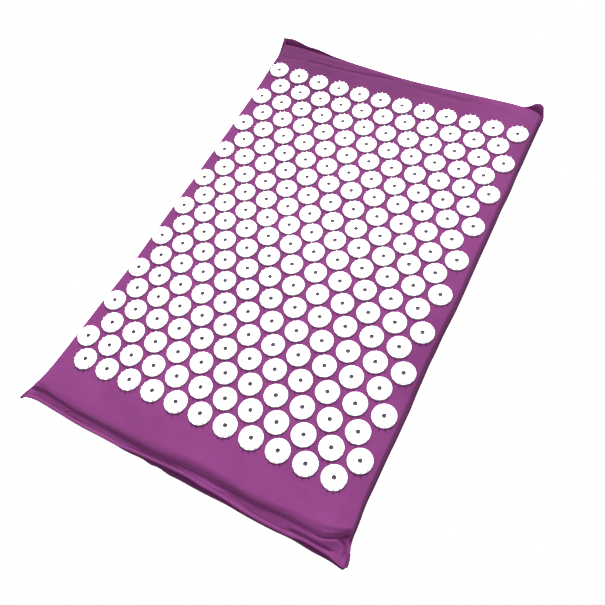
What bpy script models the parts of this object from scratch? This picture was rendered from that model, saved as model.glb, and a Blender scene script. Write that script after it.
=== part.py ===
# Acupressure mat: a cotton cover with a hook-and-loop mouth at one short end,
# a foam core inside it, and 230 plastic spike discs bonded to its top panel.
#
# X runs across the mat, +Y away from the mouth and +Z up. The origin is on the
# floor, in the middle of the mat's whole outline. All lengths are in metres.
#
# The 23 discs of the two rows next to the mouth are separate pieces with all
# their spikes. The other 207 would take the model past a sensible number of
# faces, so they are joined to the cloth that carries them, each as one plain
# puck as wide and as high as a disc with its spikes.

import math

import bmesh
import bpy
from mathutils import Matrix, Vector

# One spike disc
DISC_DIAMETER = 0.0270
DISC_THICKNESS = 0.0015
HOLE_DIAMETER = 0.0040
SPIKE_HEIGHT = 0.0029
SPIKE_WIDTH = 0.0022  # across the circle round a spike's foot
SPIKE_SUNK = 0.0003  # how far a spike's foot goes into the plate
RIM_LEDGE = 0.0003  # plain plastic outside the outer ring of spikes
HOLE_LEDGE = 0.0020  # plain plastic between the hole and the inner ring
SPIKES_IN_RINGS = (12, 9, 6)  # from the rim inwards

# The field of discs: long and short rows take turns, so that the rows nest
LONG_ROW = 12
SHORT_ROW = LONG_ROW - 1
ROWS = 20
SEPARATE_ROWS = 2  # rows next to the mouth whose discs are pieces of their own
GAP_IN_ROW = 0.0050
GAP_TO_NEXT_ROW = 0.0036

# The foam core, measured outwards from the discs at the edge of the field
SIDE_BORDER = 0.0005
FAR_BORDER = 0.0384
MOUTH_BORDER = 0.0320
FOAM_THICKNESS = 0.0200
FOAM_EDGE_RADIUS = 0.0020

# The cotton cover
CLOTH = 0.0008
SEAM_STAND_OUT = 0.0055  # from the foam's side to the seam
DRAW_IN = 0.0020  # how far the seam is pulled in between its corners
EAR_REACH_X = 0.0090  # the pointed far corners, past the seam
EAR_REACH_Y = 0.0265
MOUTH_FLARE = 0.0045  # how much wider the seam is where it reaches the mouth
EAR_SPAN = 0.0700  # length of seam that runs out into an ear or the flare
SHOULDER_POWER = 2.0  # 2 is a round shoulder, more is squarer
EAR_POWER = 4.0  # how late on its way down the cloth turns into an ear
SIDE_STEPS = 16
SHOULDER_STEPS = 3

# The mouth: two hemmed lips, held together by a hook tape and a loop tape
HEM = 2 * CLOTH
HEM_ROUND_SHARE = 0.45  # of a hem's thickness, rounded off at each of its edges
UPPER_LIP_DEPTH = 0.0165
LOWER_LIP_DEPTH = 0.0185
LIP_INSET = 0.0010  # from the seam's corner to the end of the crease
LIP_FLARE = 0.0055  # how much further out the corner of a lip reaches
LIP_STEPS = 4
TAPE_THICKNESS = 0.0012
TAPE_WIDTH = 0.0120
TAPE_TO_EDGE = 0.0015  # from the tape to the upper lip's free edge
TAPE_TO_SIDE = 0.0180  # from the tape's end to the end of the crease

# Air between neighbours that touch
CLEARANCE = 0.0003

# How finely round things are cut, and how near two points are to be made one
MERGE_DISTANCE = 0.00003
DISC_SIDES = 24
HOLE_SIDES = 6
PUCK_SIDES = 10
SPIKE_SIDES = 3
EDGE_SEGMENTS = 2

# Sizes that follow
disc_radius = DISC_DIAMETER / 2
hole_radius = HOLE_DIAMETER / 2
spike_radius = SPIKE_WIDTH / 2
column_pitch = DISC_DIAMETER + GAP_IN_ROW
row_pitch = math.sqrt((DISC_DIAMETER + GAP_TO_NEXT_ROW) ** 2 - (column_pitch / 2) ** 2)
field_half_width = (LONG_ROW - 1) / 2 * column_pitch + disc_radius
field_half_length = (ROWS - 1) / 2 * row_pitch + disc_radius

foam_half_width = field_half_width + SIDE_BORDER
foam_length = 2 * field_half_length + FAR_BORDER + MOUTH_BORDER
crease_half_width = foam_half_width + SEAM_STAND_OUT + MOUTH_FLARE - LIP_INSET

# Heights, from the floor up
foam_bottom = CLOTH + CLEARANCE
foam_top = foam_bottom + FOAM_THICKNESS
cover_top = foam_top + CLEARANCE + CLOTH
seam_height = cover_top / 2
disc_bottom = cover_top + CLEARANCE
disc_top = disc_bottom + DISC_THICKNESS
spike_tip = disc_top + SPIKE_HEIGHT

# Places along the mat: it is centred on its outline, from the edge of the lower
# lip to the tips of the far ears
past_far_foam = SEAM_STAND_OUT + EAR_REACH_Y
past_mouth_foam = SEAM_STAND_OUT + CLEARANCE + LOWER_LIP_DEPTH
mat_length = past_mouth_foam + foam_length + past_far_foam
foam_far = mat_length / 2 - past_far_foam
foam_near = foam_far - foam_length
field_centre = foam_far - FAR_BORDER - field_half_length
crease = foam_near - SEAM_STAND_OUT
lip_start = crease - CLEARANCE

# Heights at the mouth, outwards from the seam
hook_bottom = seam_height + CLEARANCE / 2
upper_lip_bottom = hook_bottom + TAPE_THICKNESS + CLEARANCE
loop_top = seam_height - CLEARANCE / 2
lower_lip_top = loop_top - TAPE_THICKNESS - CLEARANCE


def clear_scene():
    for old in list(bpy.data.objects):
        bpy.data.objects.remove(old, do_unlink=True)


def new_collection(name):
    group = bpy.data.collections.new(name)
    bpy.context.scene.collection.children.link(group)
    return group


def new_material(name, colour, roughness):
    material = bpy.data.materials.new(name)
    material.diffuse_color = (*colour, 1.0)
    material.use_nodes = True
    shader = material.node_tree.nodes["Principled BSDF"]
    shader.inputs["Base Color"].default_value = (*colour, 1.0)
    shader.inputs["Roughness"].default_value = roughness
    shader.inputs["Metallic"].default_value = 0.0
    return material


def new_object(name, mesh, group, place=Vector()):
    piece = bpy.data.objects.new(name, mesh)
    piece.location = place
    group.objects.link(piece)
    return piece


def finish_mesh(name, shape, material=None):
    """Turn a bmesh into a mesh with its faces pointing outwards."""
    bmesh.ops.recalc_face_normals(shape, faces=shape.faces)
    mesh = bpy.data.meshes.new(name)
    shape.to_mesh(mesh)
    shape.free()
    if material:
        mesh.materials.append(material)
    return mesh


def new_cutter(name, mesh, guides):
    """A guide shape that a Boolean uses: it isn't part of the mat."""
    cutter = new_object(name, mesh, guides)
    cutter.hide_render = True
    cutter.display_type = "WIRE"
    return cutter


def add_boolean(piece, operation, cutter):
    cut = piece.modifiers.new(cutter.name, "BOOLEAN")
    cut.operation = operation
    cut.object = cutter
    return cut


# The spike disc


def spike_places():
    """Centre and direction of each spike, ring by ring from the rim inwards."""
    foot_depth = spike_radius * math.cos(math.pi / SPIKE_SIDES)  # a flat side faces the rim
    outer = disc_radius * math.cos(math.pi / DISC_SIDES) - RIM_LEDGE - foot_depth
    inner = hole_radius + HOLE_LEDGE + spike_radius
    for ring, count in enumerate(SPIKES_IN_RINGS):
        radius = outer + (inner - outer) * ring / (len(SPIKES_IN_RINGS) - 1)
        for k in range(count):
            yield radius, 2 * math.pi * (k + ring / 2) / count


def spikes_mesh():
    """All spikes of a disc, with their feet a little way inside its plate."""
    shape = bmesh.new()
    # a cone's first corner lies at +Y: this turns it to point at the disc's middle
    corner_inwards = Matrix.Rotation(math.pi / 2, 4, "Z")
    for radius, angle in spike_places():
        middle = Vector((radius, 0, DISC_THICKNESS + (SPIKE_HEIGHT - SPIKE_SUNK) / 2))
        place = Matrix.Rotation(angle, 4, "Z") @ Matrix.Translation(middle)
        bmesh.ops.create_cone(
            shape,
            cap_ends=True,
            segments=SPIKE_SIDES,
            radius1=spike_radius * (1 + SPIKE_SUNK / SPIKE_HEIGHT),
            radius2=0,
            depth=SPIKE_HEIGHT + SPIKE_SUNK,
            matrix=place @ corner_inwards,
        )
    bmesh.ops.remove_doubles(shape, verts=shape.verts, dist=MERGE_DISTANCE)
    return finish_mesh("spikes", shape)


def cylinder_mesh(name, radius, height, sides, middle):
    shape = bmesh.new()
    bmesh.ops.create_cone(
        shape,
        cap_ends=True,
        segments=sides,
        radius1=radius,
        radius2=radius,
        depth=height,
        matrix=Matrix.Translation(middle),
    )
    return finish_mesh(name, shape)


def disc_mesh(material, guides):
    """The moulded disc: a plate with a hole, and its spikes joined on. z = 0 is its underside."""
    plate_middle = Vector((0, 0, DISC_THICKNESS / 2))
    plate_name = "disc_plate"
    plate = new_object(
        plate_name,
        cylinder_mesh(plate_name, disc_radius, DISC_THICKNESS, DISC_SIDES, plate_middle),
        guides,
    )
    hole_height = 3 * DISC_THICKNESS  # runs past both faces of the plate
    hole = new_cutter(
        "disc_hole",
        cylinder_mesh("disc_hole", hole_radius, hole_height, HOLE_SIDES, plate_middle),
        guides,
    )
    spikes = new_cutter("disc_spikes", spikes_mesh(), guides)
    add_boolean(plate, "UNION", spikes)
    add_boolean(plate, "DIFFERENCE", hole)

    bpy.context.view_layer.update()
    evaluated = plate.evaluated_get(bpy.context.evaluated_depsgraph_get())
    mesh = bpy.data.meshes.new_from_object(evaluated)
    mesh.name = "spike_disc"
    mesh.materials.clear()
    mesh.materials.append(material)
    for guide in (plate, hole, spikes):
        bpy.data.objects.remove(guide, do_unlink=True)
    return mesh


def row_places(row):
    """Where the discs of a row lie, from left to right. Row 1 is next to the mouth."""
    count = SHORT_ROW if row % 2 else LONG_ROW
    y = field_centre + (row - 1 - (ROWS - 1) / 2) * row_pitch
    return [Vector(((k - (count - 1) / 2) * column_pitch, y, 0)) for k in range(count)]


def add_separate_discs(material, mat, guides):
    mesh = disc_mesh(material, guides)
    for row in range(1, SEPARATE_ROWS + 1):
        for number, place in enumerate(row_places(row), start=1):
            place.z = disc_bottom
            new_object(f"spike_disc_row{row}_{number:02}", mesh, mat, place)


def add_joined_discs(panel, guides):
    """Join a puck to the panel for each disc that isn't a piece of its own."""
    sunk = CLOTH / 2
    height = spike_tip - cover_top + sunk
    shape = bmesh.new()
    for row in range(SEPARATE_ROWS + 1, ROWS + 1):
        for place in row_places(row):
            place.z = cover_top - sunk + height / 2
            bmesh.ops.create_cone(
                shape,
                cap_ends=True,
                segments=PUCK_SIDES,
                radius1=disc_radius,
                radius2=max(radius for radius, angle in spike_places()),
                depth=height,
                matrix=Matrix.Translation(place),
            )
    pucks = new_cutter("joined_discs", finish_mesh("joined_discs", shape), guides)
    add_boolean(panel, "UNION", pucks)


# The cover's two panels


def outline_places():
    """Places round a panel's edge as shares from -1 to 1, closer together near the corners."""
    corners = [Vector((-1, -1)), Vector((1, -1)), Vector((1, 1)), Vector((-1, 1))]
    for corner, following in zip(corners, corners[1:] + corners[:1]):
        for step in range(SIDE_STEPS):
            along = math.sin(math.pi * (step / SIDE_STEPS - 1 / 2)) / 2 + 1 / 2
            yield corner.lerp(following, along)


def corner_weight(x, y, half_width, end):
    """1 at a corner of the seam, falling to 0 along the sides that meet there."""
    distance = (half_width - abs(x)) + abs(end - y)
    return max(0.0, 1 - distance / EAR_SPAN) ** 2


def panel_loop(slope, flat_level, seam_level):
    """One loop of points round a panel: slope 0 bounds the flat field, and 1 is the seam."""
    turn = slope * math.pi / 2
    shoulder_reach = FOAM_EDGE_RADIUS + SEAM_STAND_OUT
    out = shoulder_reach * math.sin(turn) ** (2 / SHOULDER_POWER)
    down = 1 - max(0.0, math.cos(turn)) ** (2 / SHOULDER_POWER)
    half_width = foam_half_width - FOAM_EDGE_RADIUS + out
    near_end = foam_near + FOAM_EDGE_RADIUS - out
    far_end = foam_far - FOAM_EDGE_RADIUS + out
    draw_in = DRAW_IN * slope**EAR_POWER
    z = flat_level + (seam_level - flat_level) * down
    loop = []
    for place in outline_places():
        x = place.x * half_width
        y = near_end + (far_end - near_end) * (place.y + 1) / 2
        ear = corner_weight(x, y, half_width, far_end) * slope**EAR_POWER
        flare = corner_weight(x, y, half_width, near_end) * slope**EAR_POWER
        sideways = EAR_REACH_X * ear + MOUTH_FLARE * flare
        lengthways = EAR_REACH_Y * ear
        if abs(place.x) == 1:
            x -= place.x * draw_in * (1 - place.y**2)
        if place.y == 1:
            y -= draw_in * (1 - place.x**2)
        loop.append(Vector((x + math.copysign(sideways, x), y + lengthways, z)))
    return loop


def draw_back(seam, loop_before):
    """Lift a seam off the other panel, by as much cloth as lies between its outside and that panel."""
    for point, before in zip(seam, loop_before):
        run = (point - before).to_2d().length
        fall = point.z - before.z
        point.z -= math.copysign(CLOTH * run / math.hypot(run, fall), fall)


def add_panel(name, flat_level, seam_level, material, mat):
    """A flat field, a rounded shoulder all round it and an ear at each far corner."""
    steps = range(SHOULDER_STEPS + 1)
    places = [panel_loop(step / SHOULDER_STEPS, flat_level, seam_level) for step in steps]
    draw_back(places[-1], places[-2])
    shape = bmesh.new()
    loops = [[shape.verts.new(point) for point in loop] for loop in places]
    shape.faces.new(loops[0])
    for inner, outer in zip(loops, loops[1:]):
        for k in range(len(inner)):
            following = (k + 1) % len(inner)
            shape.faces.new((inner[k], outer[k], outer[following], inner[following]))
    mesh = finish_mesh(name, shape, material)
    panel = new_object(name, mesh, mat)
    if (mesh.polygons[0].normal.z > 0) != (flat_level > seam_level):
        mesh.flip_normals()
    wall = panel.modifiers.new("cloth", "SOLIDIFY")
    wall.thickness = CLOTH
    wall.offset = -1
    return panel


def add_foam(material, mat):
    shape = bmesh.new()
    size = (2 * foam_half_width, foam_length, FOAM_THICKNESS)
    bmesh.ops.create_cube(shape, size=1, matrix=Matrix.Diagonal((*size, 1)))
    middle = Vector((0, (foam_far + foam_near) / 2, (foam_bottom + foam_top) / 2))
    foam = new_object("foam_core", finish_mesh("foam_core", shape, material), mat, middle)
    round_edges(foam, FOAM_EDGE_RADIUS, EDGE_SEGMENTS)


def round_edges(piece, width, segments):
    edges = piece.modifiers.new("rounded edges", "BEVEL")
    edges.width = width
    edges.segments = segments
    edges.limit_method = "ANGLE"
    edges.angle_limit = math.radians(50)


# The mouth


def lip_outline(depth):
    """Plan of a lip: straight along the crease and the free edge, flared at both sides."""
    right = []
    for step in range(LIP_STEPS + 1):
        share = step / LIP_STEPS
        x = crease_half_width + LIP_FLARE * share**2
        right.append(Vector((x, lip_start - depth * share, 0)))
    left = [Vector((-point.x, point.y, 0)) for point in reversed(right)]
    return right + left


def add_lip(name, depth, bottom, material, mat, origin_y):
    """A hemmed strip of the cover past the crease, with rounded edges."""
    shape = bmesh.new()
    origin = Vector((0, origin_y, 0))
    corners = [shape.verts.new(point - origin) for point in lip_outline(depth)]
    shape.faces.new(corners)
    mesh = finish_mesh(name, shape, material)
    lip = new_object(name, mesh, mat, Vector((0, origin_y, bottom + HEM / 2)))
    wall = lip.modifiers.new("hem", "SOLIDIFY")
    wall.thickness = HEM
    wall.offset = 0
    round_edges(lip, HEM * HEM_ROUND_SHARE, EDGE_SEGMENTS)
    return lip


def add_tape(name, bottom, material, mat, parent=None):
    size = (2 * (crease_half_width - TAPE_TO_SIDE), TAPE_WIDTH, TAPE_THICKNESS)
    outer_edge = lip_start - UPPER_LIP_DEPTH + TAPE_TO_EDGE
    middle = Vector((0, outer_edge + TAPE_WIDTH / 2, bottom + TAPE_THICKNESS / 2))
    shape = bmesh.new()
    bmesh.ops.create_cube(shape, size=1, matrix=Matrix.Diagonal((*size, 1)))
    tape = new_object(name, finish_mesh(name, shape, material), mat, middle)
    if parent:
        tape.parent = parent
        tape.location = middle - parent.location
    return tape


def main():
    clear_scene()
    mat = new_collection("acupressure_mat")
    guides = new_collection("guides")

    cotton = new_material("purple_cotton", (0.27, 0.06, 0.23), 0.90)
    foam = new_material("foam", (0.80, 0.76, 0.60), 0.95)
    plastic = new_material("white_abs", (0.88, 0.89, 0.92), 0.35)
    tape = new_material("purple_tape", (0.16, 0.04, 0.14), 0.85)

    top = add_panel("top_panel", cover_top, seam_height + CLEARANCE / 2, cotton, mat)
    add_joined_discs(top, guides)
    add_panel("bottom_panel", 0, seam_height - CLEARANCE / 2, cotton, mat)
    add_foam(foam, mat)
    add_separate_discs(plastic, mat, guides)

    # the upper lip turns about the middle of its rounded inner edge
    hinge_y = lip_start - HEM / 2
    upper = add_lip("upper_lip", UPPER_LIP_DEPTH, upper_lip_bottom, cotton, mat, hinge_y)
    add_tape("hook_tape", hook_bottom, tape, mat, parent=upper)
    add_lip("lower_lip", LOWER_LIP_DEPTH, lower_lip_top - HEM, cotton, mat, hinge_y)
    add_tape("loop_tape", loop_top - TAPE_THICKNESS, tape, mat)


main()
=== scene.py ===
# How the acupressure mat looks: cloth, plastic, foam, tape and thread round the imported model.
# Lengths are in metres. X runs across the mat, +Y away from its mouth, and +Z up.

import math

import bpy
from mathutils import Matrix, Vector, noise


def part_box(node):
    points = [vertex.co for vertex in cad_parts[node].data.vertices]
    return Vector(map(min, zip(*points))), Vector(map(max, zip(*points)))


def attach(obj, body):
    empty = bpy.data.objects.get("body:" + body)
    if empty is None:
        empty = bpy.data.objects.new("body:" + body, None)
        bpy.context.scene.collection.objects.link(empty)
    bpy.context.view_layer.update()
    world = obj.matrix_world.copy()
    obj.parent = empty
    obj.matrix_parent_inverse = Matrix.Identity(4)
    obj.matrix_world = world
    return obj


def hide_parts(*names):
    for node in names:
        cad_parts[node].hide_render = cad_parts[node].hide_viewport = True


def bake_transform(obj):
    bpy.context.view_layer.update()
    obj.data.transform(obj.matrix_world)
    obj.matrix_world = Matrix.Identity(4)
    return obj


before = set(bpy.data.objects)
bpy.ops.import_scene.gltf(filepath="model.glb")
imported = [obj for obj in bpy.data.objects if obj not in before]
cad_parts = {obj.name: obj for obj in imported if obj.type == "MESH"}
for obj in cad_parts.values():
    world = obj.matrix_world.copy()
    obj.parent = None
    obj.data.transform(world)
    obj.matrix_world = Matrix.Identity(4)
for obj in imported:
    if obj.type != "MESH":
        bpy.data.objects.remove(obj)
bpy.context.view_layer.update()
mm = 0.001
print("frame loaded:", len(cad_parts), "nodes")

foamLow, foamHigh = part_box("foam_core")
upperLow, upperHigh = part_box("upper_lip")
lowerLow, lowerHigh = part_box("lower_lip")
hookLow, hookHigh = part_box("hook_tape")
loopLow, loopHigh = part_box("loop_tape")
discLow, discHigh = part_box("spike_disc_row1_01")
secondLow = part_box("spike_disc_row2_01")[0]

field = dict(
    radius=(discHigh.x - discLow.x) / 2,
    base=discLow.z,
    pitchX=2 * (discLow.x - secondLow.x),
    pitchY=secondLow.y - discLow.y,
    firstRow=(discLow.y + discHigh.y) / 2,
    rows=20,
    longRow=12,
    ownRows=2,       # rows whose discs are pieces of their own
)


# Small helpers

def clamp(value, low=0.0, high=1.0):
    return min(max(value, low), high)


def smooth(value):
    value = clamp(value)
    return value * value * (3 - 2 * value)


def mix(a, b, share):
    return a + (b - a) * share


# The sine and cosine of a share of a quarter turn
def quarterSin(share):
    return math.sin(share * math.pi / 2)


def quarterCos(share):
    return math.cos(share * math.pi / 2)


# A smooth curve through listed points, read at one place along it
def through(points, place):
    last = len(points) - 1
    k = 0
    while k < last - 1 and place > points[k + 1][0]:
        k += 1
    x0, y0 = points[k]
    x1, y1 = points[k + 1]
    before, after = points[max(k - 1, 0)], points[min(k + 2, last)]
    width = x1 - x0
    t = clamp((place - x0) / width)
    startSlope = (y1 - before[1]) / (x1 - before[0]) * width
    endSlope = (after[1] - y0) / (after[0] - x0) * width
    rise = y1 - y0
    square = 3 * rise - 2 * startSlope - endSlope
    cube = startSlope + endSlope - 2 * rise
    return y0 + t * (startSlope + t * (square + t * cube))


# The same in metres, where the points are in millimetres
def at(points, place):
    return through(points, place / mm) * mm


def deselect():
    if bpy.context.mode != "OBJECT":
        bpy.ops.object.mode_set(mode="OBJECT")
    bpy.ops.object.select_all(action="DESELECT")


# The object that the last primitive made, renamed, with its place in its mesh
def started(name):
    piece = bpy.context.active_object
    piece.name = name
    piece.data.name = name
    bpy.ops.object.transform_apply(location=True, rotation=True, scale=True)
    return piece


def activate(piece):
    deselect()
    piece.select_set(True)
    bpy.context.view_layer.objects.active = piece


# Opens a piece in edit mode with only the faces, edges or points that pass the test selected
def edit(piece, kind, test):
    activate(piece)
    bpy.ops.object.mode_set(mode="EDIT")
    bpy.ops.mesh.select_mode(type=kind)
    bpy.ops.mesh.select_all(action="DESELECT")
    bpy.ops.object.mode_set(mode="OBJECT")
    mesh = piece.data
    for item in {"FACE": mesh.polygons, "EDGE": mesh.edges, "VERT": mesh.vertices}[kind]:
        item.select = bool(test(item))
    bpy.ops.object.mode_set(mode="EDIT")


def editDone():
    bpy.ops.object.mode_set(mode="OBJECT")


def addModifier(piece, kind, **values):
    activate(piece)
    modifier = piece.modifiers.new(kind.lower(), kind)
    for key, value in values.items():
        setattr(modifier, key, value)
    bpy.ops.object.modifier_apply(modifier=modifier.name)


def join(pieces, name):
    deselect()
    for piece in pieces:
        piece.select_set(True)
    bpy.context.view_layer.objects.active = pieces[0]
    if len(pieces) > 1:
        bpy.ops.object.join()
    whole = bpy.context.active_object
    whole.name = name
    whole.data.name = name
    return whole


# A copy of a piece with a mesh of its own, put in place in that mesh
def copyOf(piece, name, place):
    copy = piece.copy()
    copy.data = piece.data.copy()
    copy.name = name
    copy.data.name = name
    copy.data.transform(place)
    bpy.context.collection.objects.link(copy)
    return copy


def smoothShade(piece, degrees=40):
    activate(piece)
    bpy.ops.object.shade_smooth_by_angle(angle=math.radians(degrees))


# How the mat lies: its far corners lift off the floor a little
lie = dict(
    farLeft=10.0 * mm, farLeftStart=0.39,
    farRight=3.4 * mm, farRightStart=-0.14,
    halfWidth=190 * mm, halfLength=290 * mm, shift=14 * mm,
)


def lift(x, y):
    across = x / lie["halfWidth"]
    along = (y + lie["shift"]) / lie["halfLength"]
    left = clamp((along - across - lie["farLeftStart"]) / (2 - lie["farLeftStart"]))
    right = clamp((along + across - lie["farRightStart"]) / (2 - lie["farRightStart"]))
    return lie["farLeft"] * left**2 + lie["farRight"] * right**2


# Materials

# Sets a node's inputs, each to a value or to another node's output
def feed(tree, node, inputs):
    for key, value in inputs.items():
        if isinstance(value, bpy.types.NodeSocket):
            tree.links.new(value, node.inputs[key])
        else:
            node.inputs[key].default_value = value


def feedShader(tree, inputs):
    feed(tree, tree.nodes["Principled BSDF"], inputs)


def newMaterial(name, colour, roughness, **values):
    material = bpy.data.materials.new(name)
    material.use_nodes = True
    material.diffuse_color = (*colour, 1)
    feedShader(material.node_tree, {"Base Color": (*colour, 1), "Roughness": roughness, **values})
    return material


def addNode(tree, kind, inputs=None, **settings):
    node = tree.nodes.new(kind)
    for key, value in settings.items():
        setattr(node, key, value)
    feed(tree, node, inputs or {})
    return node


# A Math node: each input is a number or another node's output
def calc(tree, operation, *inputs):
    return addNode(tree, "ShaderNodeMath", dict(enumerate(inputs)), operation=operation).outputs[0]


# A Mix node for colours, each of them three numbers or another node's output
def blendColours(tree, mode, factor, first, second):
    first, second = [(*value, 1) if isinstance(value, tuple) else value for value in (first, second)]
    inputs = {0: factor, 6: first, 7: second}
    return addNode(tree, "ShaderNodeMix", inputs, data_type="RGBA", blend_type=mode).outputs[2]


def rampBetween(tree, source, low, high, toLow=0.0, toHigh=1.0):
    inputs = {"Value": source, "From Min": low, "From Max": high, "To Min": toLow, "To Max": toHigh}
    return addNode(tree, "ShaderNodeMapRange", inputs).outputs["Result"]


def addNoise(tree, places, scale, detail):
    inputs = {"Vector": places, "Scale": scale, "Detail": detail}
    return addNode(tree, "ShaderNodeTexNoise", inputs).outputs[0]


def addBump(tree, height, strength, rise):
    bump = addNode(tree, "ShaderNodeBump", {"Height": height, "Strength": strength, "Distance": rise})
    feedShader(tree, {"Normal": bump.outputs[0]})


# Plain weave: threads over and under by turns, in the cloth's own flat measure
def makeWeave():
    group = bpy.data.node_groups.new("plainWeave", "ShaderNodeTree")
    for name, way, kind in (("Cloth", "INPUT", "Vector"), ("Thread", "INPUT", "Float"),
                            ("Height", "OUTPUT", "Float"), ("Slub", "OUTPUT", "Float")):
        group.interface.new_socket(name, in_out=way, socket_type="NodeSocket" + kind)
    start, end = addNode(group, "NodeGroupInput"), addNode(group, "NodeGroupOutput")
    split = addNode(group, "ShaderNodeSeparateXYZ", {0: start.outputs["Cloth"]})
    across, along = [calc(group, "DIVIDE", split.outputs[k], start.outputs["Thread"]) for k in (0, 1)]
    warp, weft = [calc(group, "ABSOLUTE", calc(group, "SINE", calc(group, "MULTIPLY", way, math.pi)))
                  for way in (across, along)]
    cell = calc(group, "ADD", calc(group, "FLOOR", across), calc(group, "FLOOR", along))
    turn = calc(group, "GREATER_THAN", calc(group, "FLOORED_MODULO", cell, 2.0), 0.5)
    over = calc(group, "MULTIPLY", turn, calc(group, "MULTIPLY", warp, calc(group, "POWER", weft, 0.5)))
    under = calc(group, "MULTIPLY", calc(group, "SUBTRACT", 1.0, turn),
                 calc(group, "MULTIPLY", weft, calc(group, "POWER", warp, 0.5)))
    streaks = []
    for yarn in ((900, 60, 1), (60, 900, 1)):  # thick and thin stretches of yarn, each way
        spread = addNode(group, "ShaderNodeMapping", {"Vector": start.outputs["Cloth"], "Scale": yarn})
        streaks.append(addNoise(group, spread.outputs[0], scale=1.0, detail=2.0))
    slub = calc(group, "MULTIPLY", calc(group, "ADD", *streaks), 0.5)
    feed(group, end, {"Height": calc(group, "ADD", over, under), "Slub": slub})
    return group


weaveGroup = makeWeave()

# A range of four is from and to of what is read, then from and to of what it gives
cotton = dict(
    colour=(0.204, 0.039, 0.170),
    shade=(0.164, 0.030, 0.138),
    faded=(0.234, 0.050, 0.196),
    thread=0.62 * mm,
    threadRise=0.16 * mm,
    bump=0.35,
    roughness=0.88,
    finish={"Sheen Weight": 0.05, "Sheen Roughness": 0.45, "Specular IOR Level": 0.12},
    clouds=dict(scale=14.0, detail=4.0),
    cloudRange=(0.36, 0.64),
    plain=0.6,                           # share of the plain colour over the clouds
    slubRange=(0.3, 0.7, 0.93, 1.07),
    # painted shade and light in the weave: darker between the threads, a little lighter on them
    weaveRange=(0.0, 1.0, 0.86, 1.06),   # darker between the threads
    # painted shade, where the cloth is darkened for weaker light, in its flat measure: towards the far
    # end and the left
    paintedShadeAlong=(0.50, 0.60),
    paintedShadeAcross=(0.42, 0.10),
    paintedShadeEnd=(0.634, 0.641, 1.0, 0.3),    # it stops at the far edge
    paintedShadeLevel=0.66,
    paintedEdgeShadeAcross=(0.372, 0.400),             # and a little towards the right edge
    paintedEdgeShadeLevel=0.88,
)


def makeCotton(name, paintedShadeTint=1.0):
    colour, shade, faded = [tuple(part * paintedShadeTint for part in cotton[key])
                            for key in ("colour", "shade", "faded")]
    material = newMaterial(name, colour, cotton["roughness"], **cotton["finish"])
    tree = material.node_tree
    flat = addNode(tree, "ShaderNodeUVMap", uv_map="cloth").outputs[0]
    weave = addNode(tree, "ShaderNodeGroup", {"Cloth": flat, "Thread": cotton["thread"]},
                    node_tree=weaveGroup)
    uneven = rampBetween(tree, addNoise(tree, flat, **cotton["clouds"]), *cotton["cloudRange"])
    base = blendColours(tree, "MIX", uneven, shade, faded)
    base = blendColours(tree, "MIX", cotton["plain"], base, colour)
    for output, spread in (("Slub", cotton["slubRange"]), ("Height", cotton["weaveRange"])):
        level = rampBetween(tree, weave.outputs[output], *spread)
        base = blendColours(tree, "MULTIPLY", 1.0, base, level)
    # painted shade: darker towards the far left, ending at the far edge, and a little towards the right
    # edge, standing in for weaker light there
    split = addNode(tree, "ShaderNodeSeparateXYZ", {0: flat})
    far = rampBetween(tree, split.outputs[1], *cotton["paintedShadeAlong"])
    left = rampBetween(tree, split.outputs[0], *cotton["paintedShadeAcross"])
    beyond = rampBetween(tree, split.outputs[1], *cotton["paintedShadeEnd"])
    paintedShadeMask = calc(tree, "MULTIPLY", calc(tree, "MULTIPLY", far, left), beyond)
    base = blendColours(tree, "MULTIPLY", paintedShadeMask, base, (cotton["paintedShadeLevel"],) * 3)
    right = rampBetween(tree, split.outputs[0], *cotton["paintedEdgeShadeAcross"])
    base = blendColours(tree, "MULTIPLY", right, base, (cotton["paintedEdgeShadeLevel"],) * 3)
    feedShader(tree, {"Base Color": base})
    addBump(tree, weave.outputs["Height"], cotton["bump"], cotton["threadRise"])
    return material


# White moulded plastic: half gloss, faintly mottled, with flow marks too small to see one by one
plastic = dict(
    colour=(0.93, 0.935, 0.945), dark=(0.90, 0.905, 0.92), light=(0.95, 0.95, 0.955),
    roughness=0.32, roughRange=(0.3, 0.7, 0.26, 0.4),
    finish={"Coat Weight": 0.15, "Coat Roughness": 0.2},
    mottle=dict(scale=240.0, detail=3.0), bump=0.15, rise=0.1 * mm,
)


def makePlastic():
    material = newMaterial("whitePlastic", plastic["colour"], plastic["roughness"], **plastic["finish"])
    tree = material.node_tree
    places = addNode(tree, "ShaderNodeTexCoord").outputs["Object"]
    mottle = addNoise(tree, places, **plastic["mottle"])
    colour = blendColours(tree, "MIX", mottle, plastic["dark"], plastic["light"])
    rough = rampBetween(tree, mottle, *plastic["roughRange"])
    feedShader(tree, {"Base Color": colour, "Roughness": rough})
    addBump(tree, mottle, plastic["bump"], plastic["rise"])
    return material


# A grainy matt material: foam, tape or thread, or glue painted dark as shade
def makeGrainy(name, dark, light, grain, roughness, rise):
    material = newMaterial(name, light, roughness)
    tree = material.node_tree
    places = addNode(tree, "ShaderNodeTexCoord").outputs["Object"]
    cells = addNode(tree, "ShaderNodeTexVoronoi", {"Vector": places, "Scale": grain})
    distance = cells.outputs["Distance"]
    colour = blendColours(tree, "MIX", rampBetween(tree, distance, 0.0, 0.8), dark, light)
    feedShader(tree, {"Base Color": colour})
    addBump(tree, distance, strength=0.5, rise=rise)
    return material


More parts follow.
